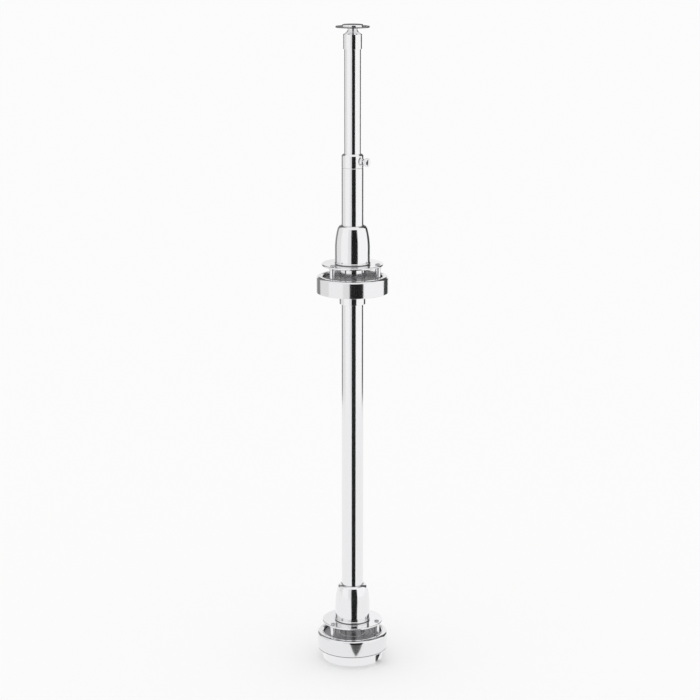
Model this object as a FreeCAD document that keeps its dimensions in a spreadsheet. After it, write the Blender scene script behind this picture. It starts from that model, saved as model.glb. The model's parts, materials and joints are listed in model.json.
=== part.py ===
import FreeCAD, Part
import math
import os

import Sketcher

# A slim telescopic column with two revolving hubs, a hollow weighted foot and a
# turning top plate. Millimetres, +Z up, the origin on the floor under the tube.
# Front is -Y. An azimuth is measured from the front, positive towards +X.

Vector = FreeCAD.Vector
Rotation = FreeCAD.Rotation
Placement = FreeCAD.Placement

doc = FreeCAD.newDocument("RevolvingColumn")

# ---------------------------------------------------------------- sizes

SIZES = {
    # column tubes
    "tube_radius": (12.5, "outside radius of the main tube"),
    "tube_wall": (1.5, "wall of the main tube"),
    "tube_lift": (1.0, "main tube's lower end above the floor"),
    "tube_top": (584.0, "main tube's upper end above the floor"),
    "mast_radius": (9.5, "outside radius of the inner tube"),
    "mast_wall": (1.2, "wall of the inner tube"),
    "mast_length": (300.0, "inner tube from end to end"),
    "mast_shown": (116.1, "inner tube showing between head and cap"),
    "run_gap": (0.06, "radial clearance where one piece turns or slides in another"),
    "fit_gap": (0.03, "radial clearance where one piece is fixed in another"),
    "open_gap": (0.4, "clearance between pieces that must not rub"),
    # foot
    "foot_height": (14.5, "floor to the underside of the lower housing"),
    "foot_taper": (6.9, "foot's bottom edge set in from the housing's side"),
    "foot_step": (0.5, "foot's top set in from the housing's side"),
    "foot_flare": (24.0, "radius of the foot's hollow side"),
    "foot_wall": (1.9, "wall of the foot shell"),
    "foot_lift": (0.6, "foot shell's bottom edge above the floor"),
    "pad_height": (2.0, "thickness of the rubber pad"),
    "pad_inset": (3.0, "rubber pad's hole, past the foot weight's"),
    "weight_gap": (2.0, "gap between the foot weight and the hub sleeve"),
    "notch_width": (6.6, "width of the notch in the foot's side"),
    "notch_offset": (30.4, "notch's middle to the right of the tube's axis"),
    "notch_height": (12.0, "notch's top above the floor"),
    "notch_depth": (29.2, "depth of the notch, back from the housing's front"),
    # hub housing
    "ring_radius": (41.2, "outside radius of a hub housing"),
    "ring_wall": (7.2, "wall of a hub housing"),
    "ring_floor": (3.0, "floor thickness of a hub housing"),
    "ring_shoulder": (3.2, "rounding of the housing's top edge"),
    "ring_edge": (0.8, "rounding of the housing's bottom edge"),
    "hub_rise": (427.0, "lower housing to upper housing, underside to underside"),
    "rim_recess": (3.0, "turntable's top below the housing's rim"),
    "table_thickness": (3.2, "thickness of the turntable"),
    "table_margin": (0.5, "gap between the turntable and the housing's wall"),
    "table_bush_wall": (3.5, "turntable's hole, past the main tube"),
    "race_thickness": (3.2, "thickness of a bearing race"),
    "race_gap": (0.7, "gap between a race and the sleeve nut"),
    "fixed_race_inset": (2.5, "fixed race set in from the housing's wall"),
    "turning_race_inset": (4.0, "turning race set in from the circle of pillars"),
    "ball_radius": (3.0, "radius of a bearing ball"),
    "ball_inset": (4.0, "circle of balls set in from the turning race's edge"),
    "ball_count": (12, "balls in a bearing"),
    "ball_gap": (0.1, "free play between a ball and its groove"),
    "groove_depth": (1.2, "depth of a ball groove"),
    "cage_thickness": (1.6, "thickness of a ball cage"),
    "cage_half_width": (3.9, "half the width of a ball cage"),
    # hub sleeve, its nut and the stop collar on the tube
    "sleeve_wall": (2.5, "wall of a hub sleeve below the housing"),
    "sleeve_drop": (13.2, "sleeve's length below the housing"),
    "nose_wall": (1.5, "wall of the sleeve's threaded nose"),
    "nut_wall": (3.3, "wall of the sleeve nut"),
    "nut_height": (3.0, "height of the sleeve nut"),
    "spanner_slot_width": (3.0, "width of a spanner slot in the sleeve nut"),
    "spanner_slot_depth": (1.6, "depth of a spanner slot in the sleeve nut"),
    "spanner_slot_count": (4, "spanner slots in the sleeve nut"),
    "collar_wall": (4.3, "wall of a stop collar"),
    "collar_height": (8.0, "height of a stop collar"),
    # carrier: pillars, disc, bell
    "disc_gap": (12.0, "housing's rim to the underside of the disc"),
    "disc_overhang": (5.25, "disc's edge past the circle of pillars"),
    "disc_thickness": (2.0, "thickness of a disc"),
    "disc_clearance": (1.1, "gap between a disc and the main tube"),
    "spigot_height": (3.5, "height of the ring on the disc that locates the bell"),
    "pillar_radius": (3.5, "radius of a pillar"),
    "pillar_inset": (4.0, "circle of pillars set in from the housing's wall"),
    "pillar_azimuth": (-48.7, "azimuth of the first pillar"),
    "pillar_count": (3, "pillars on a hub"),
    "spacer_wall": (2.5, "spacer tube's outside past the main tube"),
    "bell_reach": (7.9, "bell's side past the main tube, above its rolled edge"),
    "bell_roll": (0.735, "radius of the rolled edge at the bell's foot"),
    "bell_roll_height": (1.4, "height of the rolled edge at the bell's foot"),
    "bell_straight": (16.0, "height of the bell's upright part"),
    "bell_top_reach": (4.5, "upper end of the bell's side past the main tube"),
    "bell_side": (41.0, "height where the bell's side ends"),
    "bell_curve": (86.3, "radius of the bell's curved side"),
    "bell_height": (44.0, "height of a bell"),
    "bell_crown": (4.5, "radius of the bell's rounded top"),
    "bell_wall": (0.9, "wall of the bell at its foot"),
    "mouth_gap": (0.6, "gap between the bell's mouth and the main tube"),
    "bell_bush_wall": (2.9, "wall of the bell's guide bush"),
    "bush_height": (10.0, "height of the bell's guide bush"),
    "bush_cover": (1.8, "bell's metal above its guide bush"),
    # screws
    "screw_radius": (1.5, "thread radius of the small screws"),
    "screw_head_radius": (2.7, "head radius of the small screws"),
    "screw_head_height": (1.7, "head height of the small screws"),
    "screw_bite": (6.0, "length of thread in a pillar"),
    "slot_width": (0.8, "width of a screwdriver slot"),
    "slot_depth": (0.8, "depth of a screwdriver slot"),
    "race_screw_inset": (4.3, "circle of race screws set in from the fixed race's edge"),
    "race_screw_azimuth": (57.6, "azimuth of the first race screw"),
    "race_screw_sink": (3.0, "depth of the foot weight's screw recesses"),
    "grub_radius": (2.0, "thread radius of the grub screws"),
    "socket_radius": (1.15, "corner radius of a hexagon socket"),
    "socket_depth": (1.4, "depth of a hexagon socket"),
    # head of the main tube, clamp screw
    "head_height": (15.6, "height of the tube head above the main tube"),
    "head_chamfer": (1.9, "chamfer round the top of the tube head"),
    "spigot_drop": (30.0, "tube head's length inside the main tube"),
    "clamp_azimuth": (57.0, "azimuth of the clamp screw"),
    "clamp_rise": (6.8, "clamp screw's axis above the main tube's end"),
    "boss_radius": (3.9, "radius of the threaded boss"),
    "boss_shank": (3.2, "radius of the boss inside the tube head"),
    "boss_sink": (1.1, "depth of the boss's seat in the tube head"),
    "boss_reach": (2.5, "boss's outer face past the tube head"),
    "clamp_thread": (2.5, "thread radius of the clamp screw"),
    "clamp_neck": (3.0, "radius of the clamp screw's neck"),
    "knob_radius": (5.15, "radius of the clamp screw's knurled head"),
    "knob_height": (4.2, "height of the knurled head"),
    "knob_neck": (1.8, "length of the clamp screw's neck"),
    "knob_flutes": (24, "flutes round the knurled head"),
    "flute_radius": (0.5, "radius of a flute"),
    "clamp_pad_length": (1.2, "length of the pressure pad"),
    # inside of the main tube
    "guide_height": (14.0, "height of the inner tube's guide bush"),
    "pin_radius": (1.25, "radius of the guide bush's pin"),
    "plug_height": (8.0, "height of the main tube's end plug"),
    # top cap and top plate
    "cap_wall": (1.15, "wall of the top cap"),
    "cap_height": (16.2, "height of the top cap's straight side"),
    "cap_web": (4.2, "metal above the inner tube's end in the top cap"),
    "cap_edge": (0.5, "set-in of the step at the top cap's shoulder"),
    "neck_radius": (5.45, "radius of the neck under the top plate"),
    "neck_rise": (4.7, "height of the top cap's hollow shoulder"),
    "shoulder_hollow": (9.0, "radius of the top cap's hollow shoulder"),
    "stem_radius": (3.0, "radius of the swivel stem"),
    "stem_drop": (14.0, "swivel stem's length below the neck"),
    "cone_radius": (6.75, "radius of the stem's cone under the plate"),
    "cone_height": (2.5, "height of the stem's cone"),
    "plate_radius": (19.0, "radius of the top plate"),
    "plate_thickness": (1.5, "thickness of the top plate"),
    "plate_hole_radius": (2.1, "radius of a fixing hole in the top plate"),
    "plate_hole_circle": (15.4, "radius of the circle of fixing holes"),
    "plate_hole_count": (3, "fixing holes in the top plate"),
    "button_radius": (11.8, "radius of the raised button on the top plate"),
    "button_height": (2.0, "height of the raised button"),
    "clip_radius": (5.2, "outside radius of the stem's retaining clip"),
    "clip_height": (1.0, "thickness of the stem's retaining clip"),
}

sheet = doc.addObject("Spreadsheet::Sheet", "Sizes")
for row, (alias, (number, meaning)) in enumerate(SIZES.items(), start=1):
    sheet.set("A%d" % row, meaning)
    sheet.set("B%d" % row, str(number))
    sheet.setAlias("B%d" % row, alias)
doc.recompute()


class Size:
    """A length in the sheet, or a sum of such lengths: its value and its expression."""

    def __init__(self, value, text):
        self.value = float(value)
        self.text = text

    def _join(self, other, sign, value):
        return Size(value, "(%s %s %s)" % (self.text, sign, other.text))

    def __add__(self, other):
        other = as_size(other)
        return self._join(other, "+", self.value + other.value)

    def __sub__(self, other):
        other = as_size(other)
        return self._join(other, "-", self.value - other.value)

    def __mul__(self, other):
        other = as_size(other)
        return self._join(other, "*", self.value * other.value)

    def __truediv__(self, other):
        other = as_size(other)
        return self._join(other, "/", self.value / other.value)

    def __neg__(self):
        return Size(-self.value, "(0 - %s)" % self.text)


def as_size(number):
    return number if isinstance(number, Size) else Size(number, repr(float(number)))


class Sheet:
    """Reads a size by its name: S.tube_radius is the cell with that alias."""

    def __getattr__(self, alias):
        return Size(sheet.get(alias), "Sizes." + alias)


S = Sheet()
ZERO = as_size(0)
BACK = as_size(180)
RIGHT = as_size(90)
UPRIGHT = Rotation()
FORWARD = Rotation(Vector(1, 0, 0), 90)  # turns a piece's +Z to the front, -Y

# ---------------------------------------------------------------- shared radii

tube_bore = S.tube_radius - S.tube_wall
tube_side = S.tube_radius + S.run_gap
tube_seat = S.tube_radius + S.fit_gap
mast_bore = S.mast_radius - S.mast_wall

# From the tube outwards.
sleeve_radius = S.tube_radius + S.sleeve_wall
nose_radius = S.tube_radius + S.nose_wall
nut_radius = nose_radius + S.nut_wall
race_bore = nut_radius + S.race_gap
table_bore = S.tube_radius + S.table_bush_wall
spacer_radius = S.tube_radius + S.spacer_wall
collar_radius = S.tube_radius + S.collar_wall
disc_bore = S.tube_radius + S.disc_clearance
bush_radius = S.tube_radius + S.bell_bush_wall
bell_mouth = S.tube_radius + S.mouth_gap
bell_top_radius = S.tube_radius + S.bell_top_reach
bell_radius = S.tube_radius + S.bell_reach
boss_seat = S.tube_radius - S.boss_sink
boss_end = S.tube_radius + S.boss_reach
knob_face = boss_end + S.open_gap + S.knob_neck
knob_end = knob_face + S.knob_height
cap_radius = S.mast_radius + S.cap_wall

# From the housing's side inwards.
ring_bore = S.ring_radius - S.ring_wall
pillar_circle = ring_bore - S.pillar_inset
disc_radius = pillar_circle + S.disc_overhang
turning_race_radius = pillar_circle - S.turning_race_inset
ball_circle = turning_race_radius - S.ball_inset
fixed_race_radius = ring_bore - S.fixed_race_inset
race_screw_circle = fixed_race_radius - S.race_screw_inset
foot_rim_radius = S.ring_radius - S.foot_taper
weight_bore = sleeve_radius + S.weight_gap
pad_bore = weight_bore + S.pad_inset

# ---------------------------------------------------------------- levels

race_space = (S.ball_radius - S.groove_depth) * 2
ball_level = S.ring_floor + S.race_thickness + race_space / 2
upper_race_level = S.ring_floor + S.race_thickness + race_space
table_level = upper_race_level + S.race_thickness
table_top = table_level + S.table_thickness
ring_height = table_top + S.rim_recess
disc_level = ring_height + S.disc_gap
disc_top = disc_level + S.disc_thickness

head_top = S.tube_top + S.head_height
cap_level = head_top + S.mast_shown
shoulder_level = cap_level + S.cap_height
mast_top = shoulder_level - S.cap_web
mast_foot = mast_top - S.mast_length
neck_level = shoulder_level + S.neck_rise
plate_level = neck_level + S.run_gap + S.cone_height
plate_top = plate_level + S.plate_thickness
clamp_level = S.tube_top + S.clamp_rise

# ---------------------------------------------------------------- ways of making a piece

pieces = []


def piece(label, lift=ZERO, azimuth=ZERO, lay=UPRIGHT):
    """An empty body, lifted to its level and turned to its azimuth."""
    body = doc.addObject("PartDesign::Body", label + "_body")
    body.Label = label
    turn = Rotation(Vector(0, 0, 1), azimuth.value)
    body.Placement = Placement(Vector(0, 0, lift.value), turn.multiply(lay))
    body.setExpression("Placement.Base.z", lift.text)
    pieces.append(body)
    return body


def origin(body, role):
    return [item for item in body.Origin.OriginFeatures if item.Role == role][0]


def arc_between(start, end, radius):
    """An arc from start to end that bulges right of the way travelled, or left if negative."""
    middle = (start + end) / 2
    half = (end - start) / 2
    side = Vector(-half.y, half.x, 0).normalize()
    if radius < 0:
        side = -side
    reach = math.sqrt(radius * radius - half.Length * half.Length)
    centre = middle + side * reach
    first, last = (start, end) if radius > 0 else (end, start)
    angles = [math.atan2(point.y - centre.y, point.x - centre.x) for point in (first, last)]
    circle = Part.Circle(centre, Vector(0, 0, 1), abs(radius))
    return Part.ArcOfCircle(circle, angles[0], angles[1])


def revolve(body, outline, out=ZERO):
    """Turns an outline about an upright axis that stands out from the body's own.

    The outline is a closed loop of (radius, height), anticlockwise. A third value is
    the radius of an arc from the point before it, positive where the arc bulges out.
    """
    sketch = body.newObject("Sketcher::SketchObject", body.Label + "_outline")
    sketch.AttachmentSupport = [(origin(body, "XZ_Plane"), "")]
    sketch.MapMode = "FlatFace"
    sketch.AttachmentOffset = Placement(Vector(out.value, 0, 0), UPRIGHT)
    sketch.setExpression("AttachmentOffset.Base.x", out.text)

    points = [[as_size(number) for number in point] for point in outline]
    places = [Vector(point[0].value, point[1].value, 0) for point in points]
    count = len(points)
    for index in range(count):
        after = (index + 1) % count
        if len(points[after]) == 3:
            shape = arc_between(places[index], places[after], points[after][2].value)
        else:
            shape = Part.LineSegment(places[index], places[after])
        sketch.addGeometry(shape, False)

    def end_of(index, wants_last):
        bend = points[(index + 1) % count]
        backwards = len(bend) == 3 and bend[2].value < 0
        return 2 if wants_last != backwards else 1

    def fix(constraint, name, size):
        number = sketch.addConstraint(constraint)
        sketch.renameConstraint(number, name)
        sketch.setExpression("Constraints." + name, size.text)

    for index in range(count):
        after = (index + 1) % count
        join = Sketcher.Constraint("Coincident", index, end_of(index, True), after, end_of(after, False))
        sketch.addConstraint(join)
        radius, height = points[index][0], points[index][1]
        corner = end_of(index, False)
        fix(Sketcher.Constraint("DistanceX", index, corner, radius.value), "radius%d" % index, radius)
        fix(Sketcher.Constraint("DistanceY", index, corner, height.value), "height%d" % index, height)
        if len(points[after]) == 3:
            bend = points[after][2]
            size = bend if bend.value > 0 else -bend
            fix(Sketcher.Constraint("Radius", index, size.value), "bend%d" % index, size)

    solid = body.newObject("PartDesign::Revolution", body.Label + "_turned")
    solid.Profile = sketch
    solid.ReferenceAxis = (sketch, ["V_Axis"])
    solid.Angle = 360
    return solid


def tube(body, bore, radius, bottom, top, out=ZERO):
    """A plain tube, or a rod if its bore is ZERO."""
    outline = [(bore, bottom), (radius, bottom), (radius, top), (bore, top)]
    return revolve(body, outline, out)


def primitive(body, kind, sizes, place, turn=UPRIGHT):
    """A PartDesign primitive with its sizes and place tied to the sheet."""
    feature = body.newObject("PartDesign::" + kind, "%s_%s" % (body.Label, kind))
    feature.AttachmentSupport = [(origin(body, "XY_Plane"), "")]
    feature.MapMode = "FlatFace"
    for name, size in sizes.items():
        setattr(feature, name, size.value)
        feature.setExpression(name, size.text)
    place = [as_size(number) for number in place]
    feature.AttachmentOffset = Placement(Vector(*[size.value for size in place]), turn)
    for letter, size in zip("xyz", place):
        feature.setExpression("AttachmentOffset.Base." + letter, size.text)
    return feature


def drill(body, radius, depth, place, turn=UPRIGHT):
    sizes = {"Radius": radius, "Height": depth}
    return primitive(body, "SubtractiveCylinder", sizes, place, turn)


def pierce(body, radius, thickness, place):
    """A hole right through a wall, with its place on the wall's underside."""
    x, y, underside = place
    return drill(body, radius, thickness * 3, (x, y, underside - thickness))


def slot(body, top, out):
    """A screwdriver slot across a screw head whose face is at the given height."""
    length = S.screw_head_radius * 2
    sizes = {"Length": length, "Width": S.slot_width, "Height": S.slot_depth * 2}
    place = (out - length / 2, -S.slot_width / 2, top - S.slot_depth)
    return primitive(body, "SubtractiveBox", sizes, place)


def socket(body, top):
    """A hexagon socket sunk in a grub screw's outer end."""
    sizes = {"Circumradius": S.socket_radius, "Height": S.socket_depth * 2}
    return primitive(body, "SubtractivePrism", sizes, (0, 0, top - S.socket_depth))


def around(body, features, count):
    """Repeats features evenly round the body's own axis."""
    pattern = body.newObject("PartDesign::PolarPattern", body.Label + "_around")
    pattern.Originals = features
    pattern.Axis = (origin(body, "Z_Axis"), [""])
    pattern.Angle = 360
    pattern.Occurrences = int(count.value)
    pattern.setExpression("Occurrences", count.text)
    body.Tip = pattern
    return pattern


def grub_screw(label, lift, inner, outer, azimuth):
    """A grub screw that lies across the column, from inner to outer."""
    body = piece(label, lift, azimuth, FORWARD)
    tube(body, ZERO, S.grub_radius, inner, outer)
    socket(body, outer)
    return body


def screw_set(label, lift, azimuth, circle, tip, seat, count, head_up):
    """Slotted cheese-head screws in a circle, with heads above or below their seat."""
    body = piece(label, lift, azimuth)
    if head_up:
        face = seat + S.screw_head_height
        outline = [(0, tip), (S.screw_radius, tip), (S.screw_radius, seat)]
        outline += [(S.screw_head_radius, seat), (S.screw_head_radius, face), (0, face)]
    else:
        face = seat - S.screw_head_height
        outline = [(0, face), (S.screw_head_radius, face), (S.screw_head_radius, seat)]
        outline += [(S.screw_radius, seat), (S.screw_radius, tip), (0, tip)]
    around(body, [revolve(body, outline, circle)], count)
    around(body, [slot(body, face, circle)], count)
    return body


# ---------------------------------------------------------------- foot


def make_foot():
    """Rubber pad, iron weight and the pressed shell with its notch."""
    pad_radius = foot_rim_radius - S.foot_wall - S.open_gap
    pad = piece("foot_pad")
    tube(pad, pad_bore, pad_radius, ZERO, S.pad_height)

    weight_top = S.foot_height - S.foot_wall
    weight = piece("foot_weight", azimuth=S.race_screw_azimuth)
    tube(weight, weight_bore, pad_radius, S.pad_height, weight_top)
    across = (0, -race_screw_circle)
    through = drill(weight, S.screw_radius + S.fit_gap, weight_top, across + (ZERO,))
    sink_level = S.pad_height + S.race_screw_sink
    head_room = S.screw_head_radius + S.open_gap
    recess = drill(weight, head_room, sink_level, across + (ZERO,))
    around(weight, [through, recess], S.pillar_count)

    top_radius = S.ring_radius - S.foot_step
    sleeve_room = sleeve_radius + S.open_gap
    inner_flare = S.foot_flare + S.foot_wall
    shell = piece("foot_shell")
    outline = [
        (foot_rim_radius - S.foot_wall, S.foot_lift, inner_flare),
        (foot_rim_radius, S.foot_lift),
        (top_radius, S.foot_height, -S.foot_flare),
        (sleeve_room, S.foot_height),
        (sleeve_room, weight_top),
        (top_radius - S.foot_wall, weight_top),
    ]
    revolve(shell, outline)
    notch = {"Length": S.notch_width, "Width": S.notch_depth, "Height": S.notch_height}
    primitive(shell, "SubtractiveBox", notch, (S.notch_offset - S.notch_width / 2, -S.ring_radius, ZERO))
    turn = Rotation(Vector(0, 0, 1), S.race_screw_azimuth.value)
    reach = turn.multVec(Vector(0, -race_screw_circle.value, 0))
    across_x = Size(reach.x, "(%s * sin(Sizes.race_screw_azimuth * 1 deg))" % race_screw_circle.text)
    across_y = Size(reach.y, "(0 - %s * cos(Sizes.race_screw_azimuth * 1 deg))" % race_screw_circle.text)
    hole = pierce(shell, S.screw_radius + S.fit_gap, S.foot_wall, (across_x, across_y, weight_top))
    around(shell, [hole], S.pillar_count)


# ---------------------------------------------------------------- hubs


def make_housing(name, lift):
    """The cup that holds the ball bearing, its sleeve on the tube and the lock nut."""
    housing = piece(name + "_housing", lift, S.race_screw_azimuth)
    floor_bore = nose_radius + S.fit_gap
    outline = [
        (floor_bore, ZERO),
        (S.ring_radius - S.ring_edge, ZERO),
        (S.ring_radius, S.ring_edge, S.ring_edge),
        (S.ring_radius, ring_height - S.ring_shoulder),
        (S.ring_radius - S.ring_shoulder, ring_height, S.ring_shoulder),
        (ring_bore, ring_height),
        (ring_bore, S.ring_floor),
        (floor_bore, S.ring_floor),
    ]
    revolve(housing, outline)
    hole = pierce(housing, S.screw_radius + S.fit_gap, S.ring_floor, (0, -race_screw_circle, ZERO))
    around(housing, [hole], S.pillar_count)

    sleeve = piece(name + "_sleeve", lift, BACK)
    nose_top = S.ring_floor + S.nut_height
    outline = [
        (tube_seat, -S.sleeve_drop),
        (sleeve_radius, -S.sleeve_drop),
        (sleeve_radius, ZERO),
        (nose_radius, ZERO),
        (nose_radius, nose_top),
        (tube_seat, nose_top),
    ]
    revolve(sleeve, outline)
    screw_level = -S.sleeve_drop / 2
    drill(sleeve, S.grub_radius + S.fit_gap, sleeve_radius, (ZERO, ZERO, screw_level), FORWARD)
    grub_screw(name + "_sleeve_screw", lift + screw_level, tube_seat, sleeve_radius - S.open_gap, BACK)

    nut = piece(name + "_sleeve_nut", lift)
    tube(nut, floor_bore, nut_radius, S.ring_floor, nose_top)
    depth = S.spanner_slot_depth
    spanner_slot = {"Length": depth * 2, "Width": S.spanner_slot_width, "Height": depth * 2}
    corner = (nut_radius - depth, -S.spanner_slot_width / 2, nose_top - depth)
    cut = primitive(nut, "SubtractiveBox", spanner_slot, corner)
    around(nut, [cut], S.spanner_slot_count)


def make_bearing(name, lift):
    """Fixed race, caged balls and turning race."""
    groove = {"Radius1": ball_circle, "Radius2": S.ball_radius + S.ball_gap}
    fixed = piece(name + "_fixed_race", lift, S.race_screw_azimuth)
    tube(fixed, race_bore, fixed_race_radius, S.ring_floor, S.ring_floor + S.race_thickness)
    primitive(fixed, "SubtractiveTorus", groove, (0, 0, ball_level))
    tapped = drill(fixed, S.screw_radius + S.fit_gap, ball_level, (0, -race_screw_circle, ZERO))
    around(fixed, [tapped], S.pillar_count)

    turning = piece(name + "_turning_race", lift)
    tube(turning, race_bore, turning_race_radius, upper_race_level, table_level)
    primitive(turning, "SubtractiveTorus", groove, (0, 0, ball_level))

    cage = piece(name + "_ball_cage", lift)
    cage_bottom = ball_level - S.cage_thickness / 2
    cage_in = ball_circle - S.cage_half_width
    cage_out = ball_circle + S.cage_half_width
    tube(cage, cage_in, cage_out, cage_bottom, cage_bottom + S.cage_thickness)
    window = pierce(cage, S.ball_radius + S.ball_gap, S.cage_thickness, (ball_circle, 0, cage_bottom))
    around(cage, [window], S.ball_count)

    balls = piece(name + "_balls", lift)
    ball = primitive(balls, "AdditiveSphere", {"Radius": S.ball_radius}, (ball_circle, 0, ball_level))
    around(balls, [ball], S.ball_count)


def make_race_screws(name, lift, seat):
    """Screws from below, through the housing's floor into the fixed race."""
    tip = S.ring_floor + S.race_thickness - S.open_gap
    azimuth = S.race_screw_azimuth - RIGHT
    screw_set(name + "_race_screws", lift, azimuth, race_screw_circle, tip, seat, S.pillar_count, False)


def make_carrier(name, lift):
    """All that turns on a hub: turntable, pillars, spacer, disc and bell."""
    bore = S.screw_radius + S.fit_gap
    table = piece(name + "_turntable", lift, S.pillar_azimuth)
    tube(table, table_bore, ring_bore - S.table_margin, table_level, table_top)
    hole = pierce(table, bore, S.table_thickness, (0, -pillar_circle, table_level))
    around(table, [hole], S.pillar_count)

    bush = piece(name + "_turntable_bush", lift)
    outline = [
        (tube_side, table_level - S.bush_cover),
        (table_bore + S.bush_cover, table_level - S.bush_cover),
        (table_bore + S.bush_cover, table_level),
        (table_bore - S.fit_gap, table_level),
        (table_bore - S.fit_gap, table_top),
        (tube_side, table_top),
    ]
    revolve(bush, outline)

    spacer = piece(name + "_spacer", lift)
    tube(spacer, tube_side + S.open_gap, spacer_radius, table_top, disc_level)

    azimuth = S.pillar_azimuth - RIGHT
    pillars = piece(name + "_pillars", lift, azimuth)
    turned = tube(pillars, bore, S.pillar_radius, table_top, disc_level, pillar_circle)
    around(pillars, [turned], S.pillar_count)

    count = S.pillar_count
    low_tip = table_top + S.screw_bite
    high_tip = disc_level - S.screw_bite
    screw_set(name + "_table_screws", lift, azimuth, pillar_circle, low_tip, table_level, count, False)
    screw_set(name + "_disc_screws", lift, azimuth, pillar_circle, high_tip, disc_top, count, True)

    bell_bore = bell_radius - S.bell_wall
    spigot_radius = bell_bore - S.fit_gap
    spigot_bore = collar_radius + S.open_gap
    disc_edge = S.disc_thickness / 2
    disc = piece(name + "_disc", lift, S.pillar_azimuth)
    outline = [
        (disc_bore, disc_level),
        (disc_radius - disc_edge, disc_level),
        (disc_radius, disc_level + disc_edge, disc_edge),
        (disc_radius - disc_edge, disc_top, disc_edge),
        (spigot_radius, disc_top),
        (spigot_radius, disc_top + S.spigot_height),
        (spigot_bore, disc_top + S.spigot_height),
        (spigot_bore, disc_top),
        (disc_bore, disc_top),
    ]
    revolve(disc, outline)
    hole = pierce(disc, bore, S.disc_thickness, (0, -pillar_circle, disc_level))
    around(disc, [hole], S.pillar_count)

    bush_top = S.bell_height - S.bush_cover
    bush_bottom = bush_top - S.bush_height
    bell = piece(name + "_bell", lift + disc_top)
    outline = [
        (bell_bore, ZERO),
        (bell_radius, ZERO),
        (bell_radius, S.bell_roll_height, S.bell_roll),
        (bell_radius, S.bell_straight),
        (bell_top_radius, S.bell_side, S.bell_curve),
        (bell_mouth, S.bell_height, S.bell_crown),
        (bell_mouth, bush_top),
        (bush_radius + S.fit_gap, bush_top),
        (bush_radius + S.fit_gap, bush_bottom),
        (bell_bore, S.bell_straight),
    ]
    revolve(bell, outline)

    guide = piece(name + "_bell_bush", lift + disc_top)
    tube(guide, tube_side, bush_radius, bush_bottom, bush_top)


def make_stop_collar(name, lift):
    """The collar fixed to the tube inside the bell, which keeps the carrier down."""
    level = lift + disc_top + S.open_gap
    collar = piece(name + "_stop_collar", level, BACK)
    tube(collar, tube_seat, collar_radius, ZERO, S.collar_height)
    screw_level = S.collar_height / 2
    drill(collar, S.grub_radius + S.fit_gap, collar_radius * 2, (ZERO, ZERO, screw_level), FORWARD)
    grub_screw(name + "_collar_screw", level + screw_level, tube_seat, collar_radius - S.open_gap, BACK)


def make_hub(name, lift, screw_seat):
    make_housing(name, lift)
    make_bearing(name, lift)
    make_race_screws(name, lift, screw_seat)
    make_carrier(name, lift)
    make_stop_collar(name, lift)


# ---------------------------------------------------------------- main tube and its head


def make_main_tube():
    """The continuous tube, its end plug, its head and the threaded boss."""
    main = piece("main_tube")
    tube(main, tube_bore, S.tube_radius, S.tube_lift, S.tube_top)

    plug = piece("tube_plug", S.tube_lift)
    tube(plug, ZERO, tube_bore - S.fit_gap, ZERO, S.plug_height)

    head = piece("tube_head", S.tube_top, S.clamp_azimuth)
    bore = S.mast_radius + S.run_gap
    outline = [
        (bore, -S.spigot_drop),
        (tube_bore - S.fit_gap, -S.spigot_drop),
        (tube_bore - S.fit_gap, ZERO),
        (S.tube_radius, ZERO),
        (S.tube_radius, S.head_height - S.head_chamfer),
        (S.tube_radius - S.head_chamfer, S.head_height),
        (bore, S.head_height),
    ]
    revolve(head, outline)
    drill(head, S.boss_shank + S.fit_gap, S.tube_radius * 2, (ZERO, ZERO, S.clamp_rise), FORWARD)
    seat = (ZERO, -boss_seat, S.clamp_rise)
    drill(head, S.boss_radius + S.fit_gap, S.tube_radius, seat, FORWARD)

    boss = piece("clamp_boss", clamp_level, S.clamp_azimuth, FORWARD)
    inner_face = S.mast_radius + S.open_gap
    bore = S.clamp_thread + S.run_gap
    outline = [
        (bore, inner_face),
        (S.boss_shank, inner_face),
        (S.boss_shank, boss_seat),
        (S.boss_radius, boss_seat),
        (S.boss_radius, boss_end),
        (bore, boss_end),
    ]
    revolve(boss, outline)


def make_clamp_screw():
    """The knurled clamp screw and the soft pad at its tip, which grips the inner tube."""
    pad_face = S.mast_radius + S.run_gap
    tip = pad_face + S.clamp_pad_length
    pad = piece("clamp_pad", clamp_level, S.clamp_azimuth, FORWARD)
    tube(pad, ZERO, S.clamp_thread - S.open_gap / 2, pad_face, tip)

    screw = piece("clamp_screw", clamp_level, S.clamp_azimuth, FORWARD)
    outline = [
        (0, tip),
        (S.clamp_thread, tip),
        (S.clamp_thread, boss_end + S.open_gap),
        (S.clamp_neck, boss_end + S.open_gap),
        (S.clamp_neck, knob_face),
        (S.knob_radius, knob_face),
        (S.knob_radius, knob_end),
        (0, knob_end),
    ]
    revolve(screw, outline)
    flute = pierce(screw, S.flute_radius, S.knob_height, (S.knob_radius, ZERO, knob_face))
    around(screw, [flute], S.knob_flutes)


# ---------------------------------------------------------------- inner tube and top plate


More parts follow.
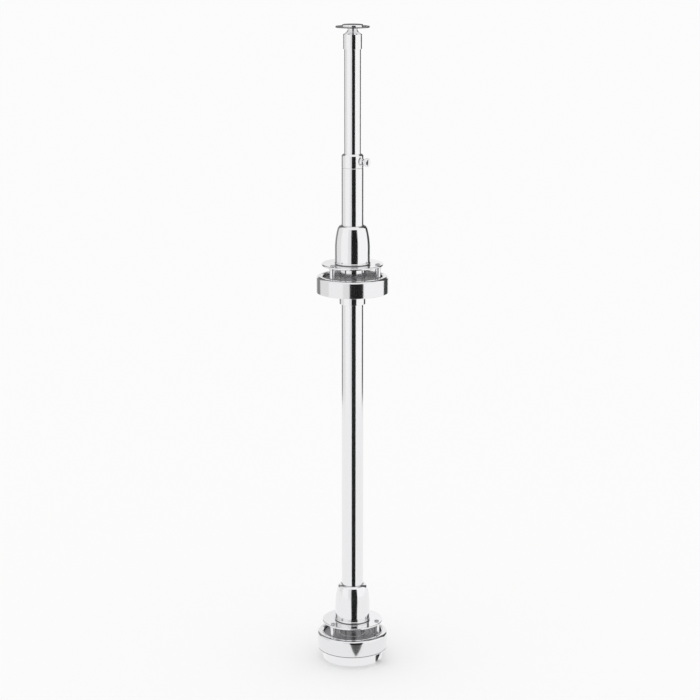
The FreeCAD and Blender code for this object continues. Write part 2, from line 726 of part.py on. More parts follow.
def make_mast():
    """The sliding inner tube with its guide bush, pin, top cap and cap screw."""
    mast = piece("inner_tube")
    tube(mast, mast_bore, S.mast_radius, mast_foot, mast_top)
    pin_level = mast_foot + S.guide_height / 2
    pin_hole = S.pin_radius + S.fit_gap
    drill(mast, pin_hole, S.tube_radius * 2, (ZERO, S.tube_radius, pin_level), FORWARD)
    screw_level = cap_level + (S.cap_height - S.cap_web) / 2
    drill(mast, S.screw_radius + S.fit_gap, S.tube_radius, (ZERO, S.tube_radius, screw_level), FORWARD)

    guide = piece("guide_bush", mast_foot)
    tube(guide, S.mast_radius + S.fit_gap, tube_bore - S.run_gap, ZERO, S.guide_height)
    drill(guide, pin_hole, S.tube_radius * 2, (ZERO, S.tube_radius, S.guide_height / 2), FORWARD)

    pin = piece("guide_pin", pin_level, ZERO, FORWARD)
    pin_reach = tube_bore - S.open_gap - S.run_gap
    tube(pin, ZERO, S.pin_radius, -pin_reach, pin_reach)

    cap = piece("top_cap", cap_level)
    socket_radius = S.mast_radius + S.fit_gap
    stem_bore = S.stem_radius + S.run_gap
    socket_top = S.cap_height - S.cap_web
    outline = [
        (socket_radius, ZERO),
        (cap_radius, ZERO),
        (cap_radius, S.cap_height),
        (cap_radius - S.cap_edge, S.cap_height),
        (S.neck_radius, S.cap_height + S.neck_rise, -S.shoulder_hollow),
        (stem_bore, S.cap_height + S.neck_rise),
        (stem_bore, socket_top),
        (socket_radius, socket_top),
    ]
    revolve(cap, outline)
    drill(cap, S.screw_radius + S.fit_gap, S.tube_radius, (ZERO, S.tube_radius, socket_top / 2), FORWARD)

    screw = piece("cap_screw", screw_level, BACK, FORWARD)
    tube(screw, ZERO, S.screw_radius, mast_bore - S.open_gap, cap_radius - S.run_gap)
    socket(screw, cap_radius - S.run_gap)


def make_top_plate():
    """The plate that turns on the cap: stem, plate, button and retaining clip."""
    stem = piece("swivel_stem", neck_level + S.run_gap)
    button_seat = S.cone_height + S.plate_thickness
    outline = [
        (0, -S.stem_drop),
        (S.stem_radius, -S.stem_drop),
        (S.stem_radius, ZERO),
        (S.neck_radius, ZERO),
        (S.cone_radius, S.cone_height),
        (S.stem_radius, S.cone_height),
        (S.stem_radius, button_seat + S.button_height / 2),
        (0, button_seat + S.button_height / 2),
    ]
    revolve(stem, outline)

    plate = piece("top_plate", plate_level)
    tube(plate, S.stem_radius + S.fit_gap, S.plate_radius, ZERO, S.plate_thickness)
    hole = pierce(plate, S.plate_hole_radius, S.plate_thickness, (S.plate_hole_circle, ZERO, ZERO))
    around(plate, [hole], S.plate_hole_count)

    button = piece("top_button", plate_top)
    inner_top = S.button_height / 2 + S.fit_gap
    crown = S.button_height / 2
    outline = [
        (S.stem_radius + S.fit_gap, ZERO),
        (S.button_radius, ZERO),
        (S.button_radius, S.button_height - crown),
        (S.button_radius - crown, S.button_height, crown),
        (0, S.button_height),
        (0, inner_top),
        (S.stem_radius + S.fit_gap, inner_top),
    ]
    revolve(button, outline)

    clip_top = mast_top - S.run_gap
    clip = piece("stem_clip", clip_top - S.clip_height)
    tube(clip, S.stem_radius + S.fit_gap, S.clip_radius, ZERO, S.clip_height)


# ---------------------------------------------------------------- build, check, write

make_foot()
upper_lift = S.foot_height + S.hub_rise
make_hub("lower", S.foot_height, S.pad_height + S.race_screw_sink - S.foot_height)
make_hub("upper", upper_lift, ZERO)
make_main_tube()
make_clamp_screw()
make_mast()
make_top_plate()
doc.recompute()

for item in doc.Objects:
    if "Invalid" in item.State or "Error" in item.State:
        raise RuntimeError("%s did not compute: %s" % (item.Label, item.State))

os.makedirs("parts", exist_ok=True)
for body in pieces:
    shape = body.Shape
    if shape.isNull() or not shape.isValid() or not shape.Solids:
        raise RuntimeError("%s has no valid solid" % body.Label)
    shape.exportStep("parts/%s.step" % body.Label)
print("%d pieces, top of the column at %.2f mm" % (len(pieces), (plate_top + S.button_height).value))
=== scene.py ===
import json
from math import atan2, cos, hypot, pi, radians, sin, sqrt, tan

import bpy
from mathutils import Matrix, Vector


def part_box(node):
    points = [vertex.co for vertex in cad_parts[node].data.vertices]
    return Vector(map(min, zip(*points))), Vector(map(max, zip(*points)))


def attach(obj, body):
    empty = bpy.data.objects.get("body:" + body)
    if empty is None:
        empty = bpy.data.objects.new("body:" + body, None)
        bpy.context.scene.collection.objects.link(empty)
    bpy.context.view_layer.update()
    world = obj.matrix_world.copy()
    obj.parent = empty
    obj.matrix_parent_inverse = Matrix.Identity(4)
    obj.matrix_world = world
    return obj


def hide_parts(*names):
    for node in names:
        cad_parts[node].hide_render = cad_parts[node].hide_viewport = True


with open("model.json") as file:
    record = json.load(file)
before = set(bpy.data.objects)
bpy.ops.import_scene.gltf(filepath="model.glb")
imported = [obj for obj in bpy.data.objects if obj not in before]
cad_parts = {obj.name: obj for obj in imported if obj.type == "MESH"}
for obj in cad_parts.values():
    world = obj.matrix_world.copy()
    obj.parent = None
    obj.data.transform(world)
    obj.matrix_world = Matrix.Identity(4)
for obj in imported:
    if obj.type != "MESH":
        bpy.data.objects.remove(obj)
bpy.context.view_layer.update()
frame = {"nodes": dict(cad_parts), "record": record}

bl_info = {
    "name": "Revolving column finish",
    "version": (1, 0, 0),
    "blender": (4, 5, 0),
    "location": "3D View > Sidebar > Column",
    "description": "Polished pieces, finishes and studio for a telescopic column with revolving hubs",
    "category": "Object",
}

MM = 0.001
FULL_TURN = 2 * pi
HUBS = ("lower", "upper")

# Gaps between neighbouring pieces
SNUG = 0.03 * MM
SLIDING = 0.06 * MM
FREE = 0.4 * MM
TOUCH = 0.01 * MM
DOUBLE = 1e-6

# Features that more than one piece shares
SCREW_RADIUS = 1.5 * MM
STEM_RADIUS = 3.0 * MM
CAP_NECK = 5.45 * MM
BOSS_SEAT = 1.1 * MM
BOSS_SHANK = 3.2 * MM
SLEEVE_STEP = 1.0 * MM
BELL_SEAT = 1.3 * MM
LIP_HEIGHT, LIP_RADIUS = 2.6, 1.345  # a bell's rolled lip, against how far it stands out


def edge_radius(node):
    """How far a round CAD node reaches from the column's axis."""
    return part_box(node)[1].x


def bottom(node):
    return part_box(node)[0].z


def top(node):
    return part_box(node)[1].z


def level_of(node):
    """Height of the middle of a node that lies across the column."""
    return (bottom(node) + top(node)) / 2


def screw_hole(node):
    """Radius of the hole that a screw lying across the column needs."""
    return (top(node) - bottom(node)) / 2 + SNUG


HUB_RISE = bottom("upper_housing") - bottom("lower_housing")

# ---------------------------------------------------------------- sizes and colours


def length(name, default, description):
    return bpy.props.FloatProperty(
        name=name, default=default, description=description, unit="LENGTH", min=0.0, precision=5
    )


def angle(name, default, description):
    return bpy.props.FloatProperty(
        name=name, default=radians(default), description=description, unit="ROTATION"
    )


def colour(name, default, description):
    return bpy.props.FloatVectorProperty(
        name=name, default=default, description=description, subtype="COLOR", size=3, min=0, max=1
    )


def share(name, default, description):
    return bpy.props.FloatProperty(
        name=name, default=default, description=description, subtype="FACTOR", min=0, max=1
    )


class ColumnSizes(bpy.types.PropertyGroup):
    """Sizes of the details that the frame doesn't give."""

    facets: bpy.props.IntProperty(
        name="Facets", default=160, min=32, description="Faces round each turned piece"
    )
    arc_steps: bpy.props.IntProperty(
        name="Arc steps", default=6, min=2, description="Steps in a rounded corner"
    )
    tube_wall: length("Tube wall", 1.5 * MM, "Wall of the main tube")
    mast_wall: length("Mast wall", 1.2 * MM, "Wall of the inner tube")
    rim_width: length("Rim width", 7.2 * MM, "Width of a housing's rim and wall")
    rim_round: length("Rim rounding", 3.2 * MM, "Rounding of a housing's top edge")
    rim_bevel: length("Rim bevel", 0.7 * MM, "Bevel inside a housing's rim")
    rim_groove: length("Rim groove", 0.4 * MM, "Depth of the turned line round a rim")
    floor_thickness: length("Housing floor", 3.0 * MM, "Floor of a housing")
    disc_thickness: length("Disc thickness", 2.0 * MM, "Thickness of a disc")
    pillar_radius: length("Pillar radius", 3.5 * MM, "Radius of a pillar")
    pillar_circle: length("Pillar circle", 30.0 * MM, "Radius of the circle of pillars")
    pillar_azimuth: angle("Pillar azimuth", -48.7, "First pillar, from the front to the right")
    bell_wall: length("Bell wall", 0.9 * MM, "Wall of a bell at its foot")
    bell_roll: length("Bell edge", 0.73 * MM, "How far a bell's rolled foot stands out")
    bell_undercut: length("Bell undercut", 0.6 * MM, "Height of the step under a bell's foot")
    bell_straight: length("Bell upright part", 16.0 * MM, "Height of a bell's upright part")
    bell_side: length("Bell side", 41.0 * MM, "Height at which a bell's side ends")
    bell_curve: length("Bell curve", 86.3 * MM, "Radius of a bell's curved side")
    bell_top: length("Bell top", 17.0 * MM, "Radius at which a bell's side ends")
    bell_crown: length("Bell crown", 4.5 * MM, "Radius of a bell's rounded top")
    bell_mouth: length("Bell mouth", 13.1 * MM, "Radius of the hole in a bell's top")
    foot_flare: length("Foot flare", 24.0 * MM, "Radius of the foot's hollow side")
    foot_rim: length("Foot rim", 34.3 * MM, "Radius of the foot's bottom edge")
    seam: length("Seam", 0.5 * MM, "Height of the seam between foot and housing")
    foot_wall: length("Foot wall", 1.9 * MM, "Wall of the foot's shell")
    notch_width: length("Notch width", 6.6 * MM, "Width of the notch in the foot")
    notch_offset: length("Notch offset", 30.4 * MM, "Notch's middle to the right of the axis")
    notch_height: length("Notch height", 12.0 * MM, "Top of the notch above the floor")
    notch_depth: length("Notch depth", 29.2 * MM, "Depth of the notch from the housing's front")
    clamp_azimuth: angle("Clamp azimuth", 57.0, "The clamp screw, from the front to the right")
    knob_radius: length("Knob radius", 5.15 * MM, "Radius of the clamp screw's head")
    knob_height: length("Knob height", 4.2 * MM, "Height of the clamp screw's head")
    knob_end: length("Knob end", 21.4 * MM, "Clamp screw's outer end from the axis")
    knob_ridges: bpy.props.IntProperty(
        name="Ridges", default=22, min=8, description="Ridges round the clamp screw's head"
    )
    boss_radius: length("Boss radius", 3.9 * MM, "Radius of the threaded boss")
    boss_end: length("Boss end", 15.0 * MM, "Boss's outer face from the axis")
    head_chamfer: length("Head chamfer", 1.9 * MM, "Chamfer round the tube head")
    joint_line: length("Joint line", 0.7 * MM, "Bevel at the line between tube and head")
    edge: length("Edge", 0.3 * MM, "Small rounding on turned edges")


class ColumnFinishes(bpy.types.PropertyGroup):
    """Colours and roughness of the finishes."""

    chrome: colour("Chrome", (0.97, 0.97, 0.97), "Polished chrome plate")
    chrome_roughness: share("Chrome roughness", 0.035, "Roughness of polished chrome")
    satin: colour("Turned chrome", (0.95, 0.95, 0.95), "Chrome plate over turned metal")
    satin_roughness: share("Turned chrome roughness", 0.1, "Roughness of the housings")
    plain_steel: colour("Zinc steel", (0.62, 0.62, 0.63), "Zinc-plated screws and collars")
    bearing_steel: colour("Bearing steel", (0.55, 0.55, 0.57), "Ground steel races and balls")
    dark_steel: colour("Dark steel", (0.42, 0.42, 0.43), "Blackened turntable")
    # Colour of painted shade and painted dark reflections: dark lines on the foot's seam, under the
    # bells, on the clamp's bevels and round the top plate's rim
    sawn_edge: colour("Sawn edge", (0.2, 0.2, 0.2), "Thinly plated edges of cut steel")
    brass: colour("Brass", (0.78, 0.60, 0.28), "Ball cages and pressure pad")
    nylon: colour("Nylon", (0.85, 0.84, 0.80), "Bushes and plug")
    iron: colour("Iron", (0.045, 0.045, 0.048), "Painted iron weight")
    rubber: colour("Rubber", (0.035, 0.035, 0.035), "Pad under the foot")


class ColumnStage(bpy.types.PropertyGroup):
    """The camera, the floor and the cards that the chrome reflects."""

    camera_distance: length("Camera distance", 2.215, "Camera to the column, along the floor")
    camera_height: length("Camera height", 0.901, "Camera above the floor")
    camera_side: length("Camera side step", 0.0029, "Camera to the left of the column")
    camera_tilt: angle("Camera tilt", 13.39, "How far the camera looks down")
    camera_lens: bpy.props.FloatProperty(
        name="Lens", default=102.3, description="Focal length in millimetres on a 36 mm frame"
    )
    floor_radius: length("Floor radius", 40.0, "Radius of the floor")
    card_radius: length("Card radius", 1.2, "Cards to the column")
    card_top: length("Card top", 1.15, "Upper edge of the cards in front and beside")
    back_top: length("Back top", 0.8, "Upper edge of the bright cards behind")
    card_roof: length("Card roof", 2.6, "Upper edge of the dark cards")
    white: share("White", 0.98, "Brightness of the floor and background")


def sizes():
    return bpy.context.scene.column_sizes


def finishes():
    return bpy.context.scene.column_finishes


def studio():
    return bpy.context.scene.column_stage


# ---------------------------------------------------------------- ways of making a piece


def deselect():
    if bpy.context.mode != "OBJECT":
        bpy.ops.object.mode_set(mode="OBJECT")
    bpy.ops.object.select_all(action="DESELECT")


def activate(piece):
    """Selects one piece alone."""
    deselect()
    bpy.context.view_layer.objects.active = piece
    piece.select_set(True)


def edit(piece, mode="VERT"):
    """Opens a piece in edit mode with nothing selected."""
    activate(piece)
    bpy.ops.object.mode_set(mode="EDIT")
    bpy.ops.mesh.select_mode(type=mode)
    bpy.ops.mesh.select_all(action="DESELECT")


def named(name):
    piece = bpy.context.active_object
    piece.name = name
    piece.data.name = name
    return piece


def finish_mesh(piece, sharp=38):
    """Merges doubles, turns the faces outwards and smooths all but the sharp edges."""
    edit(piece)
    bpy.ops.mesh.select_all(action="SELECT")
    bpy.ops.mesh.remove_doubles(threshold=DOUBLE)
    bpy.ops.mesh.normals_make_consistent(inside=False)
    bpy.ops.object.mode_set(mode="OBJECT")
    bpy.ops.object.transform_apply(location=True, rotation=True, scale=True)
    bpy.ops.object.shade_smooth_by_angle(angle=radians(sharp))
    return piece


def arc(start, end, radius):
    """Points of an arc from start to end, bulging right of the way travelled."""
    start, end = Vector(start), Vector(end)
    half = (end - start) / 2
    away = Vector((-half.y, half.x)).normalized()
    if radius < 0:
        away = -away
    centre = start + half + away * sqrt(max(radius * radius - half.length_squared, 0))
    first = atan2(start.y - centre.y, start.x - centre.x)
    sweep = atan2(end.y - centre.y, end.x - centre.x) - first
    sweep = (sweep + pi) % FULL_TURN - pi
    steps = max(sizes().arc_steps, int(abs(sweep) / radians(4)))
    places = [first + sweep * step / steps for step in range(1, steps)]
    return [(centre.x + abs(radius) * cos(a), centre.y + abs(radius) * sin(a)) for a in places]


def rounded(outline, closed=True):
    """Rounds the corners of an outline of (radius, height) or (radius, height, rounding)."""
    places = [Vector(point[:2]) for point in outline]
    count = len(places)
    result = []
    for index, point in enumerate(outline):
        place = places[index]
        rounding = point[2] if len(point) > 2 else 0
        at_end = not closed and index in (0, count - 1)
        if not rounding or at_end:
            result.append(tuple(place))
            continue
        back = (places[index - 1] - place).normalized()
        on = (places[(index + 1) % count] - place).normalized()
        half = back.angle(on) / 2
        reach = rounding / tan(half)
        start, end = place + back * reach, place + on * reach
        turn = back.x * on.y - back.y * on.x
        bulge = -rounding if turn > 0 else rounding
        result.append(tuple(start))
        result += arc(start, end, bulge)
        result.append(tuple(end))
    return result


def held(outline, closed=True):
    """Adds a point close to each end of the long straights, so that shading stays crisp."""
    near = 0.12 * MM
    result = []
    count = len(outline)
    for index in range(count):
        place = Vector(outline[index])
        result.append(tuple(place))
        if not closed and index == count - 1:
            break
        after = Vector(outline[(index + 1) % count])
        step = after - place
        if step.length > 8 * near:
            result.append(tuple(place + step.normalized() * near))
            result.append(tuple(after - step.normalized() * near))
    return result


def lathe(name, outline, closed=True, facets=None, sharp=38):
    """Sweeps an outline of (radius, height) once round the upright axis at the origin."""
    points = held(rounded(outline, closed), closed)
    if closed:
        points.append(points[0])
    deselect()
    start = (points[0][0], 0, points[0][1])
    bpy.ops.mesh.primitive_plane_add(size=MM, location=start)
    piece = named(name)
    bpy.ops.object.transform_apply(location=True)
    edit(piece)
    bpy.ops.mesh.select_all(action="SELECT")
    bpy.ops.mesh.merge(type="CENTER")
    for before, after in zip(points, points[1:]):
        step = (after[0] - before[0], 0, after[1] - before[1])
        bpy.ops.mesh.extrude_region_move(TRANSFORM_OT_translate={"value": step})
    bpy.ops.mesh.select_all(action="SELECT")
    bpy.ops.mesh.remove_doubles(threshold=DOUBLE)
    bpy.ops.mesh.select_all(action="SELECT")
    count = facets or sizes().facets
    bpy.ops.mesh.spin(steps=count, angle=FULL_TURN, center=(0, 0, 0), axis=(0, 0, 1))
    return finish_mesh(piece, sharp)


def pipe(name, bore, radius, low, high, rounding):
    """A plain tube with softened ends."""
    outline = [(bore, low), (radius, low, rounding), (radius, high, rounding), (bore, high)]
    return lathe(name, outline)


def place(piece, matrix):
    """Moves a piece by a matrix and leaves its object at the origin."""
    activate(piece)
    piece.matrix_world = matrix @ piece.matrix_basis
    bpy.ops.object.transform_apply(location=True, rotation=True, scale=True)
    return piece


def azimuth_turn(azimuth):
    return Matrix.Rotation(azimuth, 4, "Z")


def laid_out(azimuth, level):
    """Lays an upright piece down so that its +Z points outwards at an azimuth."""
    return Matrix.Translation((0, 0, level)) @ azimuth_turn(azimuth) @ Matrix.Rotation(pi / 2, 4, "X")


def copied(piece, name, matrix):
    """A copy with its own mesh, moved by a matrix."""
    activate(piece)
    bpy.ops.object.duplicate(linked=False)
    return place(named(name), matrix)


def join(name, pieces):
    deselect()
    for piece in pieces:
        piece.select_set(True)
    bpy.context.view_layer.objects.active = pieces[0]
    bpy.ops.object.join()
    return named(name)


def cut(piece, cutter):
    """Takes a cutter's shape out of a piece."""
    activate(piece)
    modifier = piece.modifiers.new("cut", "BOOLEAN")
    modifier.operation = "DIFFERENCE"
    modifier.solver = "EXACT"
    modifier.object = cutter
    bpy.ops.object.modifier_apply(modifier=modifier.name)
    bpy.data.objects.remove(cutter)
    return finish_mesh(piece)


def drill(facets, radius, depth, centre):
    """An upright cylinder that cuts a hole; its object keeps its location until it's placed."""
    deselect()
    bpy.ops.mesh.primitive_cylinder_add(
        vertices=facets, radius=radius, depth=depth, location=centre
    )
    return named("drill")


def three_round(circle, azimuth):
    """Matrices that set an upright piece at three places on a circle round the column."""
    out = Matrix.Translation((0, -circle, 0))
    return [azimuth_turn(azimuth + FULL_TURN * turn / 3) @ out for turn in range(3)]


def block(name, size, centre):
    deselect()
    bpy.ops.mesh.primitive_cube_add(size=1, location=centre)
    piece = named(name)
    piece.scale = size
    bpy.ops.object.transform_apply(location=True, scale=True)
    return piece


def fit(piece, body, slot, *nodes):
    """Gives a piece its finish and the CAD nodes it stands for, and its body to ride on."""
    piece.data.materials.clear()
    piece.data.materials.append(bpy.data.materials[slot])
    if nodes:
        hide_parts(*nodes)
    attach(piece, body)
    return piece


def darken(piece, slot, chosen):
    """Gives the chosen faces of a fitted piece a second finish; every use here paints dark lines of
    shade and reflection.
    """
    piece.data.materials.append(bpy.data.materials[slot])
    for face in piece.data.polygons:
        if chosen(face):
            face.material_index = 1


def both_hubs(make, part, body, slot):
    """Makes the lower hub's piece once and copies it up for the upper hub."""
    lower = make("lower_polished_" + part)
    upper = copied(lower, "upper_polished_" + part, Matrix.Translation((0, 0, HUB_RISE)))
    for hub, piece in zip(HUBS, (lower, upper)):
        owner = body if body == "column" else "%s_%s" % (hub, body)
        fit(piece, owner, slot, "%s_%s" % (hub, part))


# ---------------------------------------------------------------- finishes


def group_socket(group, name, side, kind="NodeSocketFloat", default=None):
    socket = group.interface.new_socket(name=name, in_out=side, socket_type=kind)
    if default is not None:
        socket.default_value = default


def added(nodes, kind, operation=None, values=()):
    """Adds a node, with its operation and the values of its inputs."""
    node = nodes.new(kind)
    if operation:
        node.operation = operation
    for name, value in dict(values).items():
        node.inputs[name].default_value = value
    return node


def haze_group():
    """Slight patches of roughness, as left by polishing and handling."""
    group = bpy.data.node_groups.new("polishing haze", "ShaderNodeTree")
    group_socket(group, "Roughness", "INPUT", default=0.04)
    group_socket(group, "Spread", "INPUT", default=0.02)
    group_socket(group, "Scale", "INPUT", default=40.0)
    group_socket(group, "Roughness", "OUTPUT")
    nodes, links = group.nodes, group.links
    given, out = nodes.new("NodeGroupInput"), nodes.new("NodeGroupOutput")
    where = nodes.new("ShaderNodeTexCoord")
    patches = added(nodes, "ShaderNodeTexNoise", values={"Detail": 5, "Roughness": 0.65})
    spread = added(nodes, "ShaderNodeMath", "MULTIPLY")
    total = added(nodes, "ShaderNodeMath", "ADD")
    links.new(where.outputs["Object"], patches.inputs["Vector"])
    links.new(given.outputs["Scale"], patches.inputs["Scale"])
    links.new(patches.outputs["Fac"], spread.inputs[0])
    links.new(given.outputs["Spread"], spread.inputs[1])
    links.new(spread.outputs[0], total.inputs[0])
    links.new(given.outputs["Roughness"], total.inputs[1])
    links.new(total.outputs[0], out.inputs["Roughness"])


def turning_group():
    """Fine lines left by turning, at even steps of height and of radius, with some grain."""
    group = bpy.data.node_groups.new("turning lines", "ShaderNodeTree")
    group_socket(group, "Pitch", "INPUT", default=4000.0)
    group_socket(group, "Grain", "INPUT", default=900.0)
    group_socket(group, "Grain share", "INPUT", default=0.5)
    group_socket(group, "Height", "OUTPUT")
    nodes, links = group.nodes, group.links
    given, out = nodes.new("NodeGroupInput"), nodes.new("NodeGroupOutput")
    where = nodes.new("ShaderNodeTexCoord")
    apart = nodes.new("ShaderNodeSeparateXYZ")
    flat = nodes.new("ShaderNodeCombineXYZ")
    radius = added(nodes, "ShaderNodeVectorMath", "LENGTH")
    along = added(nodes, "ShaderNodeMath", "ADD")
    phase = added(nodes, "ShaderNodeMath", "MULTIPLY")
    lines = added(nodes, "ShaderNodeTexNoise", values={"Scale": 1.0, "Detail": 3})
    lines.noise_dimensions = "1D"
    grain = added(nodes, "ShaderNodeTexNoise", values={"Detail": 4})
    mix = nodes.new("ShaderNodeMix")
    links.new(where.outputs["Object"], apart.inputs[0])
    links.new(apart.outputs["X"], flat.inputs["X"])
    links.new(apart.outputs["Y"], flat.inputs["Y"])
    links.new(flat.outputs[0], radius.inputs[0])
    links.new(radius.outputs["Value"], along.inputs[0])
    links.new(apart.outputs["Z"], along.inputs[1])
    links.new(along.outputs[0], phase.inputs[0])
    links.new(given.outputs["Pitch"], phase.inputs[1])
    links.new(phase.outputs[0], lines.inputs["W"])
    links.new(where.outputs["Object"], grain.inputs["Vector"])
    links.new(given.outputs["Grain"], grain.inputs["Scale"])
    links.new(given.outputs["Grain share"], mix.inputs["Factor"])
    links.new(lines.outputs["Fac"], mix.inputs["A"])
    links.new(grain.outputs["Fac"], mix.inputs["B"])
    links.new(mix.outputs["Result"], out.inputs["Height"])


def shared(nodes, group, values):
    """Adds one of the shared node groups, with the values of its inputs."""
    node = nodes.new("ShaderNodeGroup")
    node.node_tree = bpy.data.node_groups[group]
    for name, value in values.items():
        node.inputs[name].default_value = value
    return node


def finish(name, tint, metallic, roughness, haze=0.02, scale=40.0, bump=0.0, pitch=4000.0,
           grain=900.0, grain_share=0.5, depth=0.02 * MM):
    """One finish: a tint, polishing haze in its roughness and turning lines in its bump."""
    material = bpy.data.materials.new(name)
    material.use_nodes = True
    nodes, links = material.node_tree.nodes, material.node_tree.links
    shader = nodes["Principled BSDF"]
    shader.inputs["Base Color"].default_value = (*tint, 1)
    shader.inputs["Metallic"].default_value = metallic
    patches = shared(nodes, "polishing haze", {"Roughness": roughness, "Spread": haze, "Scale": scale})
    links.new(patches.outputs["Roughness"], shader.inputs["Roughness"])
    if bump:
        shares = {"Pitch": pitch, "Grain": grain, "Grain share": grain_share}
        lines = shared(nodes, "turning lines", shares)
        raised = added(nodes, "ShaderNodeBump", values={"Strength": bump, "Distance": depth})
        links.new(lines.outputs["Height"], raised.inputs["Height"])
        links.new(raised.outputs["Normal"], shader.inputs["Normal"])


class COLUMN_OT_finishes(bpy.types.Operator):
    """Makes every finish and gives the CAD pieces theirs"""

    bl_idname = "column.finishes"
    bl_label = "Finishes"

    def execute(self, context):
        haze_group()
        turning_group()
        look = finishes()
        finish("bright_chrome", look.chrome, 1, look.chrome_roughness, haze=0.03, scale=60)
        finish("satin_chrome", look.satin, 1, look.satin_roughness, haze=0.08, scale=400,
               bump=0.7, pitch=2500, grain=750, grain_share=0.7, depth=0.04 * MM)
        finish("plain_steel", look.plain_steel, 1, 0.24, haze=0.16, scale=300, bump=0.5)
        finish("bearing_steel", look.bearing_steel, 1, 0.16, haze=0.1, scale=200, bump=0.3)
        finish("dark_steel", look.dark_steel, 1, 0.07, haze=0.1, scale=150, bump=0.8,
               pitch=1800, grain=260, grain_share=0.6, depth=0.08 * MM)
        # The dark finish for painted shade and painted dark reflections on seams, bevels and rims
        finish("sawn_edge", look.sawn_edge, 1, 0.3, haze=0.15, scale=500, bump=0.5)
        finish("brass", look.brass, 1, 0.25, haze=0.15, scale=200, bump=0.4)
        finish("nylon", look.nylon, 0, 0.45, haze=0.15, scale=150, bump=0.3)
        finish("cast_iron", look.iron, 0, 0.55, haze=0.25, scale=250, bump=0.8, grain=500,
               grain_share=1.0, depth=0.2 * MM)
        finish("rubber", look.rubber, 0, 0.7, haze=0.2, scale=300, bump=0.6, grain=1200,
               grain_share=1.0, depth=0.05 * MM)
        for entry in frame["record"]["subparts"]:
            node = frame["nodes"][entry["node"]]
            node.data.materials.clear()
            node.data.materials.append(bpy.data.materials[entry["material_slot"]])
        return {"FINISHED"}


# ---------------------------------------------------------------- foot and hubs


class COLUMN_OT_foot(bpy.types.Operator):
    """Makes the pressed foot with its notch"""

    bl_idname = "column.foot"
    bl_label = "Foot"

    def execute(self, context):
        size = sizes()
        low, high = bottom("foot_shell"), top("foot_shell")
        set_in = 0.5 * MM
        outer = edge_radius("lower_housing") - set_in
        wall = size.foot_wall
        rim = size.foot_rim
        hole = edge_radius("lower_sleeve") + FREE
        outside = arc((rim, low), (outer, high), -size.foot_flare)
        inside = arc((outer - wall, high - wall), (rim - wall, low), size.foot_flare + wall)
        seam = high - size.seam
        inset = outer - 2 * size.seam
        outline = [(rim - wall, low), (rim, low, size.edge), *outside[1:-1]]
        outline += [(outer, seam), (inset, seam), (inset, high), (hole, high), (hole, high - wall)]
        outline += [(outer - wall, high - wall), *inside]
        foot = lathe("polished_foot_shell", outline)
        front = -edge_radius("lower_housing") + size.notch_depth / 2
        centre = (size.notch_offset, front, size.notch_height / 2 - low)
        box = (size.notch_width, size.notch_depth, size.notch_height + 2 * low)
        cut(foot, block("notch", box, centre))
        fit(foot, "column", "bright_chrome", "foot_shell")
        # Paints the seam's step dark: a painted shadow in the gap under the housing
        darken(foot, "sawn_edge", lambda face: face.center.z > seam - TOUCH)
        return {"FINISHED"}


class COLUMN_OT_housings(bpy.types.Operator):
    """Makes the two hub housings"""

    bl_idname = "column.housings"
    bl_label = "Housings"

    def execute(self, context):
        size = sizes()

        def housing(name):
            low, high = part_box("lower_housing")
            radius = high.x
            bore = radius - size.rim_width
            hole = edge_radius("lower_sleeve") - SLEEVE_STEP + SNUG
            inner_edge = high.z - size.rim_bevel
            land, foot_round = 1.0 * MM, 0.8 * MM
            groove = bore + size.rim_bevel + land
            outline = [
                (hole, low.z),
                (radius, low.z, foot_round),
                (radius, high.z, size.rim_round),
                (groove + size.rim_groove, high.z),
                (groove, high.z - size.rim_groove),
                (groove - size.rim_groove, high.z),
                (bore + size.rim_bevel, high.z, size.edge / 2),
                (bore, inner_edge, size.edge / 2),
                (bore, low.z + size.floor_thickness),
                (hole, low.z + size.floor_thickness),
            ]
            return lathe(name, outline)

        both_hubs(housing, "housing", "column", "satin_chrome")
        return {"FINISHED"}


class COLUMN_OT_sleeves(bpy.types.Operator):
    """Makes the sleeves that hold the housings on the tube"""

    bl_idname = "column.sleeves"
    bl_label = "Sleeves"

    def execute(self, context):
        size = sizes()

        def sleeve(name):
            low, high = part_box("lower_sleeve")
            shoulder = bottom("lower_housing")
            bore = edge_radius("main_tube") + SNUG
            nose = high.x - SLEEVE_STEP
            outline = [
                (bore, low.z),
                (high.x, low.z, size.edge),
                (high.x, shoulder, size.edge / 2),
                (nose, shoulder),
                (nose, high.z),
                (bore, high.z),
            ]
            piece = lathe(name, outline)
            cutter = drill(48, screw_hole("lower_sleeve_screw"), high.x, (0, 0, high.x))
            return cut(piece, place(cutter, laid_out(pi, level_of("lower_sleeve_screw"))))

        both_hubs(sleeve, "sleeve", "column", "bright_chrome")
        return {"FINISHED"}


